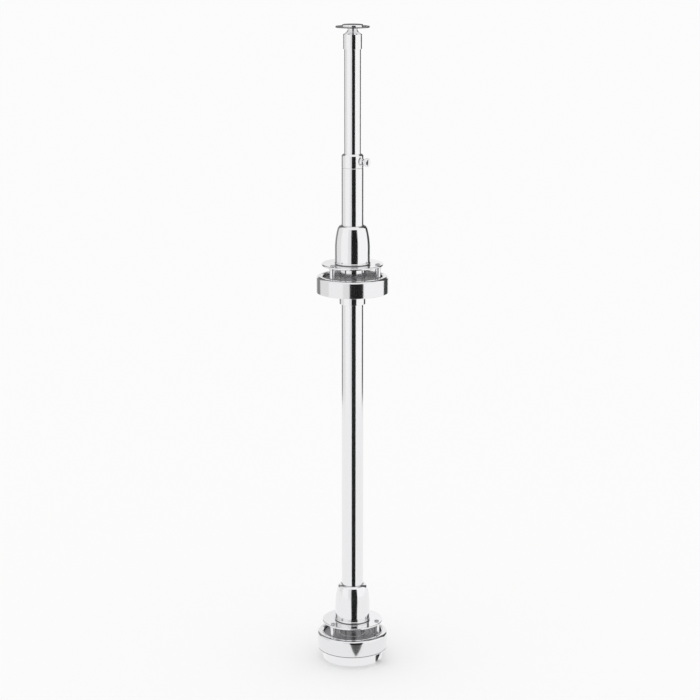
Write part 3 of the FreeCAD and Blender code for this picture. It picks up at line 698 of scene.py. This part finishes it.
class COLUMN_OT_turntables(bpy.types.Operator):
    """Makes the turntables, the spacer tubes above them and the pillars"""

    bl_idname = "column.turntables"
    bl_label = "Turntables and pillars"

    def execute(self, context):
        size = sizes()

        def turntable(name):
            low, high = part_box("lower_turntable")
            bore = 16.0 * MM
            groove = 0.4 * MM
            under_pillar, clear_of_pillar, pitch = 0.6 * MM, 2.0 * MM, 4.0 * MM
            outer_line = size.pillar_circle + size.pillar_radius - under_pillar
            inner_line = size.pillar_circle - size.pillar_radius - clear_of_pillar
            outline = [(bore, low.z), (high.x, low.z), (high.x, high.z, size.edge)]
            for line in (outer_line, inner_line, inner_line - pitch):
                outline += [(line + groove, high.z), (line, high.z - groove), (line - groove, high.z)]
            outline.append((bore, high.z))
            return lathe(name, outline, sharp=30)

        def spacer(name):
            low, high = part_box("lower_spacer")
            bore = edge_radius("main_tube") + FREE + SLIDING
            return pipe(name, bore, high.x, low.z, high.z, size.edge)

        def pillars(name):
            low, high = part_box("lower_pillars")
            radius = size.pillar_radius
            bore = SCREW_RADIUS + SNUG
            waist = 0.35 * MM
            collar = 1.6 * MM
            outline = [
                (bore, low.z),
                (radius, low.z, size.edge),
                (radius, low.z + collar, size.edge / 2),
                (radius - waist, low.z + collar + waist),
                (radius - waist, high.z - collar - waist),
                (radius, high.z - collar, size.edge / 2),
                (radius, high.z, size.edge),
                (bore, high.z),
            ]
            first = lathe(name, outline, facets=64)
            places = three_round(size.pillar_circle, size.pillar_azimuth)
            posts = [copied(first, "post", where) for where in places]
            bpy.data.objects.remove(first)
            return join(name, posts)

        both_hubs(turntable, "turntable", "carrier", "dark_steel")
        both_hubs(spacer, "spacer", "carrier", "bright_chrome")
        both_hubs(pillars, "pillars", "carrier", "bright_chrome")
        return {"FINISHED"}


def slotted_screws(name, circle, azimuth, tip, seat, head_radius, head_top, shank_radius):
    """Three domed screws with a driver slot, in a circle round the column."""
    domed_share, seat_edge = 0.55, 0.15 * MM
    slot_depth, slot_width = 0.7 * MM, 0.8 * MM
    slot_turn = radians(35)
    dome = (head_top - seat) * domed_share
    crown = (head_radius**2 + dome**2) / (2 * dome)
    side = seat + (head_top - seat) - dome
    outline = [(0, tip), (shank_radius, tip), (shank_radius, seat), (head_radius, seat, seat_edge)]
    outline += [(head_radius, side), *arc((head_radius, side), (0, head_top), crown), (0, head_top)]
    screw = lathe(name, outline, closed=False, facets=48)
    blade = (head_radius * 3, slot_width, slot_depth * 2)
    screw = cut(screw, block("blade", blade, (0, 0, head_top)))
    copies = []
    for turn, where in enumerate(three_round(circle, azimuth)):
        copies.append(copied(screw, "screw", where @ azimuth_turn(slot_turn + turn)))
    bpy.data.objects.remove(screw)
    return join(name, copies)


class COLUMN_OT_discs(bpy.types.Operator):
    """Makes the polished discs, their screws and the bells"""

    bl_idname = "column.discs"
    bl_label = "Discs and bells"

    def execute(self, context):
        size = sizes()

        def disc(name):
            low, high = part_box("lower_disc")
            face = low.z + size.disc_thickness
            flat = 0.1 * MM
            edge = (size.disc_thickness - flat) / 2
            bell_bore = edge_radius("lower_bell") - BELL_SEAT - size.bell_wall
            spigot_bore = edge_radius("lower_stop_collar") + FREE
            hole = 13.6 * MM
            outline = [
                (hole, low.z),
                (high.x, low.z, edge),
                (high.x, face, edge),
                (bell_bore, face),
                (bell_bore, high.z),
                (spigot_bore, high.z),
                (spigot_bore, face),
                (hole, face),
            ]
            piece = lathe(name, outline)
            first = drill(32, SCREW_RADIUS + SNUG, 4 * size.disc_thickness, (0, 0, face))
            places = three_round(size.pillar_circle, size.pillar_azimuth)
            drills = [copied(first, "drill", where) for where in places]
            bpy.data.objects.remove(first)
            return cut(piece, join("drills", drills))

        def disc_screws(name):
            low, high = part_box("lower_disc_screws")
            seat = bottom("lower_disc") + size.disc_thickness
            head_radius = 2.7 * MM
            return slotted_screws(name, size.pillar_circle, size.pillar_azimuth, low.z, seat,
                                  head_radius, high.z, SCREW_RADIUS)

        def bell(name):
            low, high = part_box("lower_bell")
            roll = size.bell_roll
            side = high.x - roll
            bore = side - size.bell_wall
            base = low.z
            straight = base + size.bell_straight
            shoulder = base + size.bell_side
            bush_low, bush_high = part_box("lower_bell_bush")
            bush = bush_high.x + SNUG
            step_in = side - size.bell_wall / 3
            step_top = base + size.bell_undercut
            lip_low, lip_high = (side, step_top), (side, step_top + LIP_HEIGHT * roll)
            outline = [(bore, base), (step_in, base), (step_in, step_top), lip_low]
            outline += [*arc(lip_low, lip_high, roll * LIP_RADIUS), lip_high, (side, straight)]
            outline += arc((side, straight), (size.bell_top, shoulder), size.bell_curve)
            outline += [(size.bell_top, shoulder)]
            outline += arc((size.bell_top, shoulder), (size.bell_mouth, high.z), size.bell_crown)
            outline += [(size.bell_mouth, high.z), (size.bell_mouth, bush_high.z)]
            outline += [(bush, bush_high.z), (bush, bush_low.z), (bore, straight)]
            return lathe(name, outline, sharp=25)

        foot_level = bottom("lower_bell")

        # Picks the faces of the step under each bell's foot, which get a painted shadow line under the
        # rolled lip
        def undercut(face):
            height = face.center.z - foot_level
            in_hub = height if height < HUB_RISE / 2 else height - HUB_RISE
            return in_hub < size.bell_undercut and face.normal.z < 0.5

        both_hubs(disc, "disc", "carrier", "bright_chrome")
        both_hubs(disc_screws, "disc_screws", "carrier", "plain_steel")
        both_hubs(bell, "bell", "carrier", "bright_chrome")
        # Painted shadow line under each bell's rolled foot
        for hub in HUBS:
            darken(bpy.data.objects[hub + "_polished_bell"], "sawn_edge", undercut)
        return {"FINISHED"}


# ---------------------------------------------------------------- tubes, head and clamp


class COLUMN_OT_tubes(bpy.types.Operator):
    """Makes the main tube, the inner tube and the head between them"""

    bl_idname = "column.tubes"
    bl_label = "Tubes and head"

    def execute(self, context):
        size = sizes()
        low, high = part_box("main_tube")
        bore = high.x - size.tube_wall
        main = pipe("polished_main_tube", bore, high.x, low.z, high.z, size.joint_line)
        fit(main, "column", "bright_chrome", "main_tube")

        low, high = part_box("inner_tube")
        radius = (high.y - low.y) / 2
        mast = pipe("polished_inner_tube", radius - size.mast_wall, radius, low.z, high.z, size.edge)
        fit(mast, "mast", "bright_chrome", "inner_tube")

        low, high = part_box("tube_head")
        joint = top("main_tube")
        radius = edge_radius("main_tube")
        spigot = radius - size.tube_wall - SNUG
        slide_bore = edge_radius("inner_tube") + SLIDING
        chamfer = size.head_chamfer
        outline = [
            (slide_bore, low.z),
            (spigot, low.z),
            (spigot, joint),
            (radius, joint, size.joint_line),
            (radius, high.z - chamfer, size.edge),
            (radius - chamfer, high.z, size.edge / 2),
            (slide_bore, high.z),
        ]
        head = lathe("polished_tube_head", outline)
        where = laid_out(size.clamp_azimuth, level_of("clamp_boss"))
        holes = ((BOSS_SHANK + SNUG, 0.0), (size.boss_radius + SNUG, radius - BOSS_SEAT))
        for hole, start in holes:
            cutter = drill(64, hole, 2 * radius, (0, 0, start + radius))
            head = cut(head, place(cutter, where))
        fit(head, "column", "bright_chrome", "tube_head")
        return {"FINISHED"}


def ridged(name, radius, low, high, ridges, depth, bevel):
    """A knurled drum: straight ridges between two bevelled ends."""
    deselect()
    bpy.ops.mesh.primitive_cylinder_add(
        vertices=4 * ridges, radius=radius, depth=high - low, location=(0, 0, (low + high) / 2)
    )
    drum = named(name)
    bpy.ops.object.transform_apply(location=True)
    edit(drum, "FACE")
    bpy.ops.object.mode_set(mode="OBJECT")
    for face in drum.data.polygons:
        face.select = abs(face.normal.z) > 0.9
    bpy.ops.object.mode_set(mode="EDIT")
    bpy.ops.mesh.inset(thickness=bevel)
    bpy.ops.mesh.select_mode(type="VERT")
    bpy.ops.mesh.select_all(action="DESELECT")
    bpy.ops.object.mode_set(mode="OBJECT")
    step = FULL_TURN / (4 * ridges)
    for vertex in drum.data.vertices:
        spoke = round(atan2(vertex.co.y, vertex.co.x) / step) % 4
        at_rim = hypot(vertex.co.x, vertex.co.y) > radius - bevel / 2
        vertex.select = at_rim and spoke in (0, 1)
    bpy.ops.object.mode_set(mode="EDIT")
    shrink = (radius - depth) / radius
    middle = (0, 0, (low + high) / 2)
    bpy.ops.transform.resize(value=(shrink, shrink, 1), center_override=middle)
    bpy.ops.mesh.select_all(action="DESELECT")
    bpy.ops.object.mode_set(mode="OBJECT")
    for vertex in drum.data.vertices:
        vertex.select = hypot(vertex.co.x, vertex.co.y) > radius - depth * 1.5
    bpy.ops.object.mode_set(mode="EDIT")
    squeeze = 1 - 2 * bevel / (high - low)
    bpy.ops.transform.resize(value=(1, 1, squeeze), center_override=middle)
    bpy.ops.object.mode_set(mode="OBJECT")
    return finish_mesh(drum, 20)


class COLUMN_OT_clamp(bpy.types.Operator):
    """Makes the threaded boss and the knurled clamp screw"""

    bl_idname = "column.clamp"
    bl_label = "Clamp"

    def execute(self, context):
        size = sizes()
        where = laid_out(size.clamp_azimuth, level_of("clamp_boss"))
        along = where.to_3x3() @ Vector((0, 0, 1))
        seat = edge_radius("main_tube") - BOSS_SEAT
        inner = edge_radius("inner_tube") + FREE
        end = size.boss_end
        thread = 2.5 * MM
        bore, boss_edge = thread + SLIDING, 0.6 * MM
        outline = [
            (bore, inner),
            (BOSS_SHANK, inner),
            (BOSS_SHANK, seat),
            (size.boss_radius, seat),
            (size.boss_radius, end, boss_edge),
            (bore, end),
        ]
        boss = place(lathe("polished_clamp_boss", outline, facets=64), where)
        fit(boss, "column", "bright_chrome", "clamp_boss")
        # Paints the boss's bevel dark: a painted dark reflection ring round the boss
        darken(boss, "sawn_edge", lambda face: 0.2 < face.normal.dot(along) < 0.95)

        tip_gap, tip_edge = 1.26 * MM, 0.4 * MM
        tip = edge_radius("inner_tube") + tip_gap
        neck = 3.0 * MM
        knob_end = size.knob_end
        knob_face = knob_end - size.knob_height
        collar = end + FREE
        web = size.knob_radius - 1.4 * MM
        lap, hollow = 0.1 * MM, 0.3 * MM
        ridge_depth, knob_edge = 0.6 * MM, 0.7 * MM
        outline = [
            (0, tip),
            (thread, tip, tip_edge),
            (thread, collar),
            (neck, collar, size.edge),
            (neck, knob_face - lap),
            (web, knob_face + hollow),
            (web, knob_end - hollow),
            (0, knob_end - 2 * hollow),
        ]
        core = lathe("core", outline, closed=False, facets=64)
        drum = ridged("drum", size.knob_radius, knob_face, knob_end, size.knob_ridges,
                      ridge_depth, knob_edge)
        screw = place(join("polished_clamp_screw", [core, drum]), where)
        fit(screw, "clamp_screw", "bright_chrome", "clamp_screw")
        middle = knob_end - size.knob_height / 2
        edge_band = 0.8 * MM

        # Picks the bevels at both ends of the knob, which get painted dark reflections for the dark
        # strokes on the knurled head
        def at_knob_edge(face):
            reach = abs(face.center.dot(along) - middle)
            slope = abs(face.normal.dot(along))
            return reach > size.knob_height / 2 - edge_band and 0.25 < slope < 0.9

        darken(screw, "sawn_edge", at_knob_edge)
        return {"FINISHED"}


class COLUMN_OT_top(bpy.types.Operator):
    """Makes the top cap, the swivel stem, the top plate and its button"""

    bl_idname = "column.top"
    bl_label = "Top cap and plate"

    def execute(self, context):
        size = sizes()
        low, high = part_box("top_cap")
        radius = high.x
        bore = edge_radius("inner_tube") + SNUG
        socket_top = top("inner_tube")
        stem_bore = STEM_RADIUS + SLIDING
        shoulder_height, shoulder_step, shoulder_hollow = 4.7 * MM, 0.5 * MM, 9.0 * MM
        shoulder = high.z - shoulder_height
        step, neck_top = (radius - shoulder_step, shoulder), (CAP_NECK, high.z)
        outline = [(bore, low.z), (radius, low.z, size.edge), (radius, shoulder, size.edge / 2), step]
        outline += [*arc(step, neck_top, -shoulder_hollow), neck_top]
        outline += [(stem_bore, high.z), (stem_bore, socket_top), (bore, socket_top)]
        cap = lathe("polished_top_cap", outline)
        cutter = drill(32, screw_hole("cap_screw"), radius, (0, 0, radius))
        cap = cut(cap, place(cutter, laid_out(pi, level_of("cap_screw"))))
        fit(cap, "mast", "bright_chrome", "top_cap")

        low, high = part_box("swivel_stem")
        plate_low, plate_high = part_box("top_plate")
        cone = high.x
        foot = top("top_cap") + SLIDING
        waist_height, cone_rim, cone_hollow = 0.5 * MM, 0.3 * MM, 4.0 * MM
        waist, flare = (CAP_NECK, foot + waist_height), (cone, plate_low.z - cone_rim)
        outline = [
            (0, low.z),
            (STEM_RADIUS, low.z, size.edge),
            (STEM_RADIUS, foot),
            (CAP_NECK, foot),
            waist,
            *arc(waist, flare, -cone_hollow),
            flare,
            (cone, plate_low.z),
            (STEM_RADIUS, plate_low.z),
            (STEM_RADIUS, high.z),
            (0, high.z),
        ]
        stem = lathe("polished_swivel_stem", outline, closed=False, facets=96)
        fit(stem, "top_swivel", "bright_chrome", "swivel_stem")

        hole = STEM_RADIUS + SNUG
        radius = plate_high.x
        under_edge, upper_edge = 0.3 * MM, 0.12 * MM
        outline = [
            (hole, plate_low.z),
            (radius, plate_low.z, under_edge),
            (radius, plate_high.z, upper_edge),
            (hole, plate_high.z),
        ]
        plate = lathe("polished_top_plate", outline)
        hole_radius, hole_circle, depth = 2.1 * MM, 15.4 * MM, 10 * MM
        drills = [
            place(drill(40, hole_radius, depth, (hole_circle, 0, plate_low.z)),
                  azimuth_turn(FULL_TURN * turn / 3))
            for turn in range(3)
        ]
        plate = cut(plate, join("drills", drills))
        fit(plate, "top_swivel", "bright_chrome", "top_plate")
        rim = radius - 0.4 * MM

        # Picks the plate's upright rim, which gets a painted dark line of shade round the plate's edge
        def at_rim(face):
            return hypot(*face.center.xy) > rim and abs(face.normal.z) < 0.45

        darken(plate, "sawn_edge", at_rim)

        low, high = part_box("top_button")
        radius = high.x
        crown = 1.0 * MM
        dish = 0.25 * MM
        ring, slope = 2.2 * MM, 0.6 * MM
        inner = radius - ring
        outline = [
            (hole, low.z),
            (radius, low.z),
            (radius, high.z, crown),
            (inner, high.z, size.edge),
            (inner - slope, high.z - dish, size.edge),
            (0, high.z - dish),
        ]
        inside = [(0, low.z + crown), (hole, low.z + crown)]
        button = lathe("polished_top_button", inside + outline, closed=False)
        fit(button, "top_swivel", "bright_chrome", "top_button")
        return {"FINISHED"}


# ---------------------------------------------------------------- stage


def glow(name, strength):
    """A material that gives off even white light."""
    material = bpy.data.materials.new(name)
    material.use_nodes = True
    nodes, links = material.node_tree.nodes, material.node_tree.links
    nodes.remove(nodes["Principled BSDF"])
    lamp = nodes.new("ShaderNodeEmission")
    lamp.inputs["Color"].default_value = (1, 1, 1, 1)
    lamp.inputs["Strength"].default_value = strength
    links.new(lamp.outputs["Emission"], nodes["Material Output"].inputs["Surface"])
    return material


def only_reflected(card, strength):
    """Lights a card and lets it show in reflections only."""
    card.data.materials.append(glow(card.name, strength))
    card.visible_camera = False
    card.visible_diffuse = False
    card.visible_shadow = False
    card.visible_transmission = False


def standing_card(name, start, end, low, high, strength):
    """A curved card round the column, between two azimuths and two heights."""
    deselect()
    bpy.ops.mesh.primitive_plane_add(size=MM, location=(0, -studio().card_radius, low))
    card = named(name)
    bpy.ops.object.transform_apply(location=True)
    edit(card)
    bpy.ops.mesh.select_all(action="SELECT")
    bpy.ops.mesh.merge(type="CENTER")
    bpy.ops.mesh.extrude_region_move(TRANSFORM_OT_translate={"value": (0, 0, high - low)})
    bpy.ops.mesh.select_all(action="SELECT")
    sweep = radians(end - start)
    steps = max(2, int(abs(end - start) / 3))
    bpy.ops.mesh.spin(steps=steps, angle=sweep, center=(0, 0, 0), axis=(0, 0, 1))
    bpy.ops.object.mode_set(mode="OBJECT")
    spun = sum((vertex.co.xy for vertex in card.data.vertices), Vector((0, 0)))
    middle = atan2(spun.x, -spun.y)
    place(card, azimuth_turn(radians(start + end) / 2 - middle))
    only_reflected(card, strength)


def floor_card(name, corners, level, strength):
    """A flat card that lies just above the floor, given by its corners."""
    deselect()
    bpy.ops.mesh.primitive_circle_add(vertices=len(corners), fill_type="NGON")
    card = named(name)
    for vertex, corner in zip(card.data.vertices, corners):
        vertex.co = (*corner, level)
    only_reflected(card, strength)


class COLUMN_OT_stage(bpy.types.Operator):
    """Sets the floor, the light, the cards and the camera"""

    bl_idname = "column.stage"
    bl_label = "Stage"

    def execute(self, context):
        stage = studio()
        scene = context.scene
        scene.view_settings.view_transform = "Standard"

        world = bpy.data.worlds.new("studio")
        scene.world = world
        world.use_nodes = True
        sky = world.node_tree.nodes["Background"]
        sky.inputs["Color"].default_value = (1, 1, 1, 1)
        sky.inputs["Strength"].default_value = stage.white

        deselect()
        bpy.ops.mesh.primitive_circle_add(
            vertices=96, radius=stage.floor_radius, fill_type="NGON", location=(0, 0, 0)
        )
        floor = named("floor")
        paper = bpy.data.materials.new("paper")
        paper.use_nodes = True
        shader = paper.node_tree.nodes["Principled BSDF"]
        shader.inputs["Base Color"].default_value = (0.99, 0.99, 0.99, 1)
        shader.inputs["Roughness"].default_value = 1.0
        shader.inputs["Specular IOR Level"].default_value = 0.0
        floor.data.materials.append(paper)

        self.cards()

        deselect()
        spot = (-stage.camera_side, -stage.camera_distance, stage.camera_height)
        aim = (pi / 2 - stage.camera_tilt, 0, 0)
        bpy.ops.object.camera_add(location=spot, rotation=aim)
        camera = bpy.context.active_object
        camera.data.sensor_width = 36
        camera.data.lens = stage.camera_lens
        camera.data.clip_end = 100
        scene.camera = camera
        return {"FINISHED"}

    def cards(self):
        """The bright and dark bands that the column reflects, by azimuth."""
        stage = studio()
        floor, front, back, roof = 0.0, stage.card_top, stage.back_top, stage.card_roof
        bands = (
            ("black_card", -9, 34, floor, front, 0.012),
            ("white_card", 34, 116, floor, front, 1.05),
            ("charcoal_card", 116, 147, floor, roof, 0.06),
            ("back_card", 147, 180, floor, back, 1.0),
            ("dusk_card", 147, 208, back, roof, 0.1),
            ("far_back_card", -180, -152, floor, back, 0.92),
            ("grey_card", -152, -123, floor, roof, 0.27),
            ("soft_card", -123, -80, floor, front, 0.85),
            ("pale_card", -80, -30, floor, front, 1.0),
            ("cool_card", -30, -9, floor, front, 0.86),
        )
        for name, start, end, low, high, strength in bands:
            standing_card(name, start, end, low, high, strength)
        near_left, near_right = (-12 * MM, -118.5 * MM), (52.7 * MM, -105.7 * MM)
        point = (11 * MM, -77.3 * MM)
        reach = stage.card_radius * 1.1
        far_left, far_right = (
            (reach * sin(radians(edge)), -reach * cos(radians(edge))) for edge in bands[0][1:3]
        )
        floor_card("floor_band", (near_left, far_left, far_right, near_right), MM, 0.012)
        floor_card("floor_point", (point, near_left, near_right), MM, 0.12)
        sides = 48
        turns = [FULL_TURN * side / sides for side in range(sides)]
        corners = [(reach * cos(turn), reach * sin(turn)) for turn in turns]
        floor_card("floor_sheet", corners, 0.4 * MM, 0.96)


# ---------------------------------------------------------------- panel and registration

STEPS = (
    COLUMN_OT_stage,
    COLUMN_OT_finishes,
    COLUMN_OT_foot,
    COLUMN_OT_housings,
    COLUMN_OT_sleeves,
    COLUMN_OT_turntables,
    COLUMN_OT_discs,
    COLUMN_OT_tubes,
    COLUMN_OT_clamp,
    COLUMN_OT_top,
)
GROUPS = (
    ("column_sizes", ColumnSizes),
    ("column_finishes", ColumnFinishes),
    ("column_stage", ColumnStage),
)


class COLUMN_PT_panel(bpy.types.Panel):
    """Lists the steps of the column"""

    bl_idname = "COLUMN_PT_panel"
    bl_label = "Revolving column"
    bl_space_type = "VIEW_3D"
    bl_region_type = "UI"
    bl_category = "Column"

    def draw(self, context):
        for step in STEPS:
            self.layout.operator(step.bl_idname)
        for name, group in GROUPS:
            box = self.layout.box()
            settings = getattr(context.scene, name)
            for key in group.__annotations__:
                box.prop(settings, key)


def register():
    for name, group in GROUPS:
        bpy.utils.register_class(group)
        setattr(bpy.types.Scene, name, bpy.props.PointerProperty(type=group))
    for step in STEPS:
        bpy.utils.register_class(step)
    bpy.utils.register_class(COLUMN_PT_panel)


def unregister():
    bpy.utils.unregister_class(COLUMN_PT_panel)
    for step in reversed(STEPS):
        bpy.utils.unregister_class(step)
    for name, group in reversed(GROUPS):
        delattr(bpy.types.Scene, name)
        bpy.utils.unregister_class(group)


def main():
    register()
    for step in STEPS:
        group, name = step.bl_idname.split(".")
        getattr(getattr(bpy.ops, group), name)()
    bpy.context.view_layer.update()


if __name__ == "__main__":
    main()
